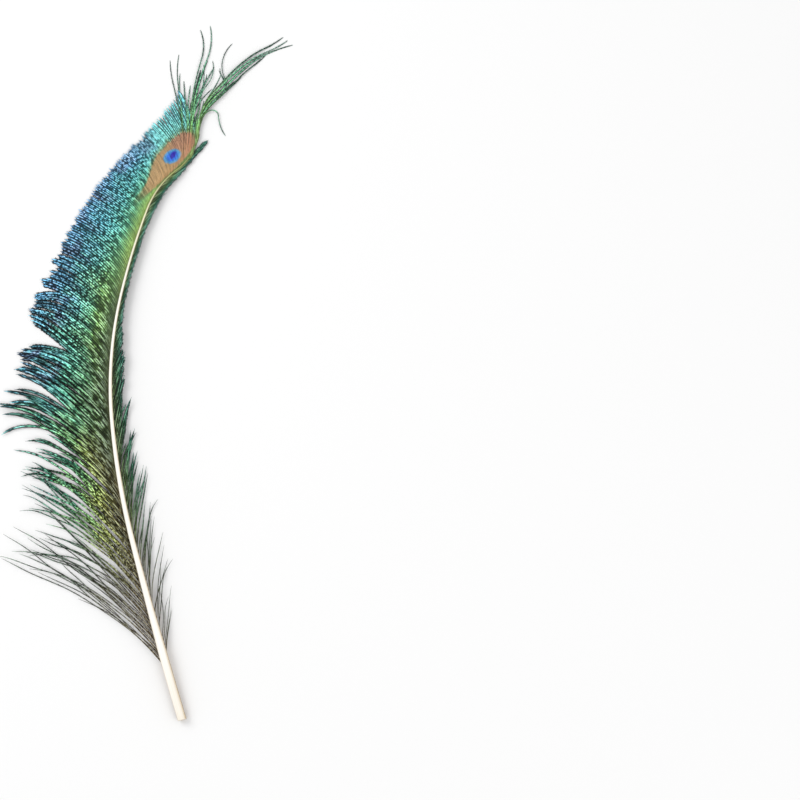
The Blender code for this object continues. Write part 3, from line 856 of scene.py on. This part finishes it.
def outer_barbules():
    """Iridescent barbules: brown by the shaft, lime, teal and blue at the margin, with the copper eye."""
    material, tree, shader = new_material("iridescent barbules", *BARBULE_SHEEN)
    along = read(tree, "along")
    drift = centred(tree, plan_noise(tree, *DRIFT_NOISE), DRIFT)
    fuzz = centred(tree, barb_noise(tree, *FUZZ_NOISE), FUZZ)
    reading = reckon(tree, "ADD", along, times(tree, plus(tree, drift, fuzz), along), clamp=True)
    colour = ramp(tree, OUTER_LOWEST, reading)
    for low, high, stops in OUTER_BANDS:
        colour = mixed(tree, up_shaft(tree, low, high), colour, ramp(tree, stops, reading))
    violet = times(tree, ranged(tree, reading, *VIOLET_REACH), up_shaft(tree, *VIOLET_FADE))
    violet = times(tree, ranged(tree, plan_noise(tree, *VIOLET_NOISE), *VIOLET_PATCHES), violet)
    colour = mixed(tree, times(tree, violet, up_shaft(tree, *VIOLET_FROM)), colour, VIOLET)
    colour, copper = eye_marked(tree, colour, times(tree, fuzz, EYE_FUZZ))
    barb_finish(tree, shader, colour, minus(tree, 1.0, calmness(tree, reading, copper)))
    return material


locks_chance = np.random.default_rng(LOCK_SEED)
chance = np.random.default_rng(BARB_SEED)
outer_path, outer = barb_paths(OUTER_VANE, OUTER_MARGIN, OUTER_LOCKS, OUTER_SPREAD, OUTER_TUFTS, 1,
                               locks_chance, chance)
add_barbs("outer_barbs", OUTER_PIECES, outer_path, outer, outer_barbules(), chance)

# Inner vane --------------------------------------------------------------------------------------
# The narrow vane on the shaft's right: short dark-green barbs that lean close along the shaft, loose
# and stringy in the lower part. It is made as the outer vane is, with plainer barbules.

INNER_VANE = {
    "share": (0.10, 0.20, 0.35, 0.50, 0.58, 0.80, 0.86, 0.90, 0.93),
    "root": (3.5, 4.0, 2.0, -5.0, -13.0, -31.0, -46.0, -62.0, -56.0),
    "outer": (-8.5, -8.0, -9.0, -14.0, -21.0, -38.0, -52.0, -57.0, -42.0),
    "settle": (0.40,) * 9,
    "curl": (-9.0, -9.0, -7.0, -5.0, -4.0, 0.0, 0.0, 2.0, 2.0),
    "uneven": (0.30, 0.30, 0.28, 0.22, 0.15, 0.05, 0.05, 0.05, 0.05),
    "part": (0.10, 0.12, 0.22, 1.0, 1.0, 1.0, 1.0, 1.0, 1.0),
    "fill": (0.90, 0.80, 0.75, 0.85, 1.0, 1.0, 1.0, 1.0, 1.0),
    "tip": (0.90, 0.70, 0.50, 0.50, 1.0, 1.0, 1.0, 1.0, 1.0),
    "fall": (1.0, 1.0, 1.0, 0.6, 0.4, 0.25, 0.30, 0.45, 0.9),
    "barbs": (5.0, 5.0, 6.0, 5.0, 4.0, 4.0, 4.0, 4.0, 5.0),
    "loose": (0.9, 0.9, 0.7, 0.35, 0.10, 0.03, 0.03, 0.03, 0.08),
    "fringe": (0.00012, 0.00018, 0.00030, 0.00034, 0.00034, 0.00034, 0.00034, 0.00034, 0.00032),
    "web": (0.00008, 0.00012, 0.00036, 0.0007, 0.0008, 0.0008, 0.0008, 0.0008, 0.0007),
    "crest": (0.0006,) * 9,
}
INNER_MARGIN = ((0.10, 0.20, 0.35, 0.50, 0.65, 0.80, 0.86, 0.90, 0.93),
                (0.040, 0.046, 0.042, 0.027, 0.0095, 0.0085, 0.010, 0.013, 0.020))
INNER_LOCKS = 22
INNER_SPREAD = ((0.0, 0.4, 1.0), (0.10, 0.50, 0.93))
INNER_PIECES = 2
INNER_LOWEST = ((0.0, 0.17, 0.12, 0.055), (0.4, 0.08, 0.08, 0.04), (1.0, 0.05, 0.09, 0.05))
INNER_ALONG = ((0.0, 0.22, 0.21, 0.08), (0.30, 0.15, 0.24, 0.08), (0.65, 0.07, 0.25, 0.13),
               (1.0, 0.05, 0.22, 0.18))
INNER_BAND = (0.16, 0.36)
INNER_CONTRAST = 0.6


def inner_barbules():
    """Dark green barbules, olive by the shaft, and brown on the lowest barbs."""
    material, tree, shader = new_material("dark green barbules", *BARBULE_SHEEN)
    along = read(tree, "along")
    colour = mixed(tree, up_shaft(tree, *INNER_BAND), ramp(tree, INNER_LOWEST, along),
                   ramp(tree, INNER_ALONG, along))
    barb_finish(tree, shader, colour, INNER_CONTRAST)
    return material


inner_path, inner = barb_paths(INNER_VANE, INNER_MARGIN, INNER_LOCKS, INNER_SPREAD, (), -1,
                               locks_chance, chance)
add_barbs("inner_barbs", INNER_PIECES, inner_path, inner, inner_barbules(), chance)

# Tip strands -------------------------------------------------------------------------------------
# Long loose barbs past the end of the vanes, in small bundles that split and curve to the right and
# upwards. Their barbules are short, so each shows as a thread.

# Each bundle's share of the shaft's length, its own length, and the headings that it turns through.
TIP_STRANDS = (
    (0.940, 0.052, (-6.0, 0.0, 6.0, 6.0, -10.0)),
    (0.948, 0.038, (-10.0, -4.0, 2.0, 5.0, 2.0)),
    (0.953, 0.047, (-6.0, -4.0, -14.0, -36.0, 20.0)),
    (0.958, 0.062, (-4.0, -4.0, -14.0, -22.0, 12.0)),
    (0.966, 0.042, (-12.0, -8.0, -12.0, -14.0, 0.0)),
    (0.980, 0.054, (-6.0, -8.0, -44.0, -52.0, 28.0, -12.0, -48.0)),
    (0.987, 0.067, (-4.0, -16.0, -46.0, -44.0, -52.0, -68.0, -76.0)),
    (0.990, 0.030, (-4.0, -10.0, -24.0, -70.0, -176.0, -162.0, -140.0)),
    (0.993, 0.065, (0.0, -14.0, -44.0, -44.0, -54.0, -68.0, -54.0)),
    (0.998, 0.050, (0.0, -22.0, -46.0, -46.0, -44.0, -54.0, -46.0)),
)
STRAND_RADIUS = 0.00055
STRAND_TIP_RADIUS = 0.00022
STRAND_STEP = 0.0001
THREADS = (4, 8, 4, 8, 5, 4, 4, 1, 5, 4)
THREAD_DRIFT = (8.0, 13.0, 14.0, 9.0, 14.0, 5.0, 3.0, 4.0, 3.0, 4.0)
THREAD_FRINGE = (0.00020, 0.00026, 0.00020, 0.00028, 0.00022, 0.00018, 0.00028, 0.00022, 0.00026, 0.00026)
TIP_STEPS = 130
TIP_ALONG = ((0.0, 0.30, 0.46, 0.13), (0.30, 0.27, 0.58, 0.20), (0.55, 0.16, 0.46, 0.26),
             (0.80, 0.12, 0.29, 0.20), (1.0, 0.09, 0.17, 0.13))
THREAD_REACHES = (0.45, 0.97)
LEADER_DRIFT = 0.2
DRIFT_POWER = 1.5
THREAD_WAVES = (4.0, 9.0)
THREAD_PHASES = (0.0, 6.0)
THREAD_WAVE_SHARE = 0.6
THREAD_ROOTS = 0.0025
THREAD_ARCH = 0.0012
THREAD_WEB = 0.8
THREAD_SHEEN = (0.55, 0.15, 0.2)
THREAD_FUZZ = 0.2
THREAD_SHADES = (0.15, 0.85, 0.45, 1.35)
THREAD_CONTRAST = 0.55
THREAD_COPPER_CALM = 0.45


def tip_paths(chance):
    """Threads in bundles: each turns through its bundle's headings with a drift of its own, and its height
    falls to the table by the square of the way left, over a low arch. The first of a bundle has its full
    length, and the others end short of it on its line."""
    bundle = np.repeat(np.arange(len(TIP_STRANDS)), THREADS)
    strands = [TIP_STRANDS[number] for number in bundle]
    threads = len(bundle)
    leader = np.concatenate([[True], bundle[1:] != bundle[:-1]])[:, None]
    along = np.linspace(0.0, 1.0, TIP_STEPS + 1)
    shorter = np.where(leader, 1.0, chance.uniform(*THREAD_REACHES, (threads, 1)))
    headings = np.stack([np.interp(along * part, np.linspace(0.0, 1.0, len(turns)), turns)
                         for (_, _, turns), part in zip(strands, shorter)])
    straying = np.where(leader, LEADER_DRIFT, 1.0) * along ** DRIFT_POWER
    straying = straying * np.take(THREAD_DRIFT, bundle)[:, None]
    wave = np.sin(along * chance.uniform(*THREAD_WAVES, (threads, 1))
                  + chance.uniform(*THREAD_PHASES, (threads, 1)))
    headings = headings + (chance.normal(0, 1, (threads, 1)) + THREAD_WAVE_SHARE * wave) * straying
    share = np.array([strand[0] for strand in strands])[:, None]
    share = share + chance.normal(0, THREAD_ROOTS, (threads, 1))
    length = np.array([strand[1] for strand in strands])[:, None] * shorter
    root_x, root_y, root_z = shaft_point(np.clip(share, 0.0, 1.0))
    x, y = walk(headings, length, (root_x, root_y))
    body = STRAND_RADIUS + (STRAND_TIP_RADIUS - STRAND_RADIUS) * along
    z = body + (root_z - STRAND_RADIUS + bundle[:, None] * STRAND_STEP) * (1 - along) ** 2
    z = z + chance.uniform(0, THREAD_ARCH, (threads, 1)) * along * (1 - along) * 4
    return np.stack([x, y, z], axis=-1), along * np.ones((threads, 1)), length, share, bundle


def tip_barbules():
    """Green threads, dark at their ends, copper where they cross the eye patch."""
    material, tree, shader = new_material("green threads", *THREAD_SHEEN)
    fuzz = centred(tree, barb_noise(tree, *FUZZ_NOISE), THREAD_FUZZ)
    shade = grey(tree, ranged(tree, read(tree, "strand"), *THREAD_SHADES))
    colour = mixed(tree, 1.0, ramp(tree, TIP_ALONG, read(tree, "along")), shade, "MULTIPLY")
    colour, copper = eye_marked(tree, colour, fuzz)
    contrast = minus(tree, THREAD_CONTRAST, times(tree, copper, THREAD_COPPER_CALM))
    barb_finish(tree, shader, colour, contrast)
    return material


tip_path, tip_along, tip_length, tip_share, bundle = tip_paths(chance)
fringe = np.take(THREAD_FRINGE, bundle)[:, None]
tip = {"along": tip_along, "reached": tip_along * tip_length, "share": tip_share,
       "fringe": fringe, "web": fringe * THREAD_WEB, "loose": np.zeros(fringe.shape),
       "strand": chance.uniform(0.0, 1.0, fringe.shape)}
barb_mesh("tip_strands", tip_path, tip, tip_barbules(), chance)

# Table, light and camera --------------------------------------------------------------------------
# A plain white table under a broad soft light, seen from straight above. The photograph's middle is the
# point of the table that the camera stands over.

VIEW_MIDDLE = (0.1169, -0.0120)
VIEW_HALF_WIDTH = 0.184
LENS = 85.0
SENSOR = 36.0
TABLE_REACH = 3.0
TABLE_WHITE = (0.9, 0.9, 0.9, 1.0)
TABLE_SHEEN = (0.9, 0.0, 0.1)
SKY_STRENGTH = 0.74

# Square lamps aimed at the middle of the table: name, place, size and power.
LIGHTS = (("key", (-0.7, 0.5, 0.9), 0.7, 6.0), ("fill", (0.8, -0.6, 1.0), 0.9, 4.0))

table_mesh = bpy.data.meshes.new("table")
table_corners = [(x * TABLE_REACH, y * TABLE_REACH, 0.0) for x, y in ((-1, -1), (1, -1), (1, 1), (-1, 1))]
table_mesh.from_pydata(table_corners, [], [(0, 1, 2, 3)])
table = bpy.data.objects.new("table", table_mesh)
bpy.context.scene.collection.objects.link(table)
white, _, white_shader = new_material("white table", *TABLE_SHEEN)
white_shader.inputs["Base Color"].default_value = TABLE_WHITE
table_mesh.materials.append(white)

world = bpy.data.worlds.new("studio")
bpy.context.scene.world = world
world.use_nodes = True
sky = world.node_tree.nodes["Background"]
sky.inputs["Color"].default_value = (1.0, 1.0, 1.0, 1.0)
sky.inputs["Strength"].default_value = SKY_STRENGTH

for name, place, size, power in LIGHTS:
    lamp = bpy.data.lights.new(name, "AREA")
    lamp.size = size
    lamp.energy = power
    holder = bpy.data.objects.new(name, lamp)
    bpy.context.scene.collection.objects.link(holder)
    holder.location = place
    holder.rotation_euler = (-Vector(place)).to_track_quat("-Z", "Y").to_euler()

camera_data = bpy.data.cameras.new("camera")
camera_data.lens = LENS
camera_data.sensor_width = SENSOR
camera = bpy.data.objects.new("camera", camera_data)
bpy.context.scene.collection.objects.link(camera)
camera.location = (*VIEW_MIDDLE, VIEW_HALF_WIDTH * 2 * LENS / SENSOR)
bpy.context.scene.camera = camera
bpy.context.scene.view_settings.view_transform = "Standard"
